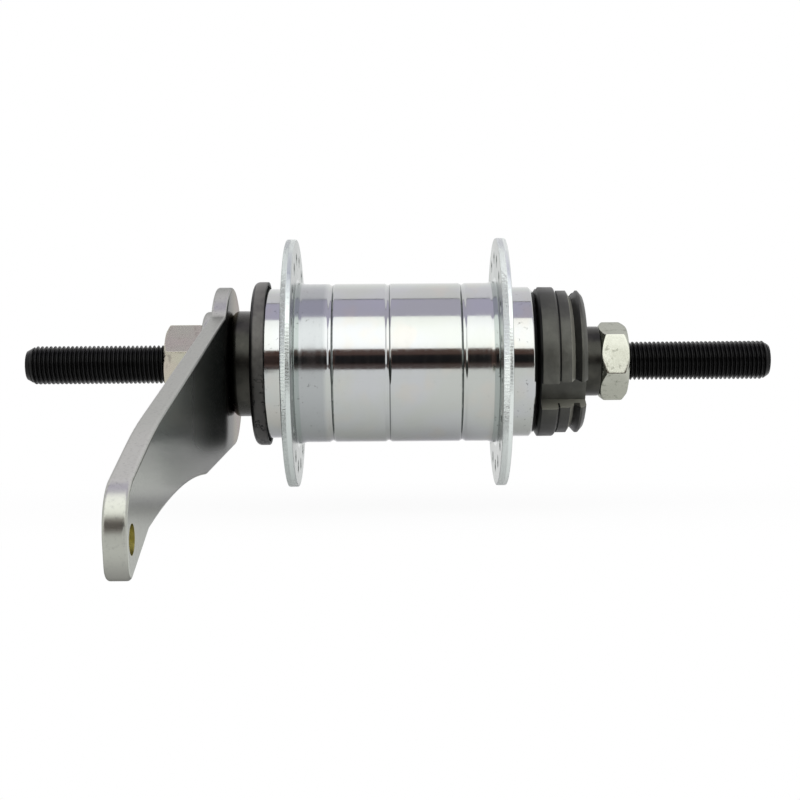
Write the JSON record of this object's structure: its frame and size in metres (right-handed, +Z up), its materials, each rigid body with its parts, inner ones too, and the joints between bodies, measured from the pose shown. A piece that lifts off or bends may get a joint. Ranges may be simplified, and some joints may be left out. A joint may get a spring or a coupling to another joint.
{
  "type": "coaster brake hub",
  "caption": "Bicycle rear hub with an internal back-pedal brake: flanged shell for spokes, threaded axle, driver for a lugged sprocket, and a reaction arm.",
  "frame": {"origin": "on the axle's centre line, midway between the spoke flanges and between the two locknut faces", "axes": "+Y along the axle towards the driver and sprocket side, +X towards the brake arm's tip, +Z up"},
  "size_m": [0.1739, 0.1817, 0.0663],
  "materials": {
    "bright_zinc": "bright zinc plate, satin, faintly blue",
    "arm_zinc": "zinc plate, satin, with faint yellow and pink passivation",
    "pale_zinc": "pale yellowish zinc plate, blotched",
    "black_steel": "black oxide, oiled",
    "gunmetal": "case-hardened and blackened, satin",
    "dark_cap": "thin blackened sheet steel, satin",
    "hardened_steel": "hardened and ground",
    "spring_steel": "plain spring steel",
    "shoe_steel": "dull steel, worn outer face",
    "ball_steel": "polished bearing balls"
  },
  "bodies": {
    "fixed_axle": {"axle": "black_steel", "left_locknut": "arm_zinc", "right_locknut": "pale_zinc", "arm_washer": "arm_zinc", "brake_arm": "arm_zinc", "lever_cone": "black_steel", "left_dust_cap": "dark_cap", "brake_expander": "hardened_steel", "adjusting_cone": "black_steel"},
    "shell": {"hub_shell": "bright_zinc", "left_bearing_cup": "hardened_steel", "right_bearing_cup": "hardened_steel"},
    "driver_unit": {"driver": "gunmetal", "driver_dust_cap": "gunmetal"},
    "retarder": {"retarder_spring": "spring_steel"},
    "clutch": {"clutch_cone": "hardened_steel"},
    "upper_shoe": {"brake_shoe_upper": "shoe_steel"},
    "lower_shoe": {"brake_shoe_lower": "shoe_steel"},
    "left_bearing": {"left_bearing_balls": "ball_steel", "left_ball_cage": "spring_steel"},
    "right_bearing": {"right_bearing_balls": "ball_steel", "right_ball_cage": "spring_steel"},
    "driver_bearing": {"driver_bearing_balls": "ball_steel", "driver_ball_cage": "spring_steel"}
  },
  "joints": [
    {"name": "shell_spin", "type": "hinge", "parent": "fixed_axle", "child": "shell", "pos_m": [0, 0, 0], "axis": [0, 1, 0], "continuous": true},
    {"name": "driver_spin", "type": "hinge", "parent": "fixed_axle", "child": "driver_unit", "pos_m": [0, 0, 0], "axis": [0, 1, 0], "continuous": true},
    {"name": "clutch_shift", "type": "slide", "parent": "driver_unit", "child": "retarder", "axis": [0, 1, 0], "range_m": [-0.003, 0]},
    {"name": "clutch_screw", "type": "hinge", "parent": "retarder", "child": "clutch", "pos_m": [0, 0, 0], "axis": [0, 1, 0], "range_deg": [-45.01, 0]},
    {"name": "upper_shoe_slide", "type": "slide", "parent": "fixed_axle", "child": "upper_shoe", "axis": [0, -0.9636, 0.2672], "range_m": [0, 0.00156]},
    {"name": "lower_shoe_slide", "type": "slide", "parent": "fixed_axle", "child": "lower_shoe", "axis": [0, -0.9636, -0.2672], "range_m": [0, 0.00156]},
    {"name": "left_bearing_roll", "type": "hinge", "parent": "fixed_axle", "child": "left_bearing", "pos_m": [0, 0, 0], "axis": [0, 1, 0], "continuous": true},
    {"name": "right_bearing_roll", "type": "hinge", "parent": "fixed_axle", "child": "right_bearing", "pos_m": [0, 0, 0], "axis": [0, 1, 0], "continuous": true},
    {"name": "driver_bearing_roll", "type": "hinge", "parent": "fixed_axle", "child": "driver_bearing", "pos_m": [0, 0, 0], "axis": [0, 1, 0], "continuous": true}
  ],
  "couplings": [
    {"joint": "clutch_screw", "follows": "clutch_shift", "rad_per_m": 261.8},
    {"joint": "upper_shoe_slide", "follows": "clutch_shift", "ratio": -0.51887},
    {"joint": "lower_shoe_slide", "follows": "clutch_shift", "ratio": -0.51887},
    {"joint": "left_bearing_roll", "follows": "shell_spin", "ratio": 0.5838},
    {"joint": "right_bearing_roll", "follows": "shell_spin", "ratio": 0.5905},
    {"joint": "driver_bearing_roll", "follows": "driver_spin", "ratio": 0.5946}
  ]
}
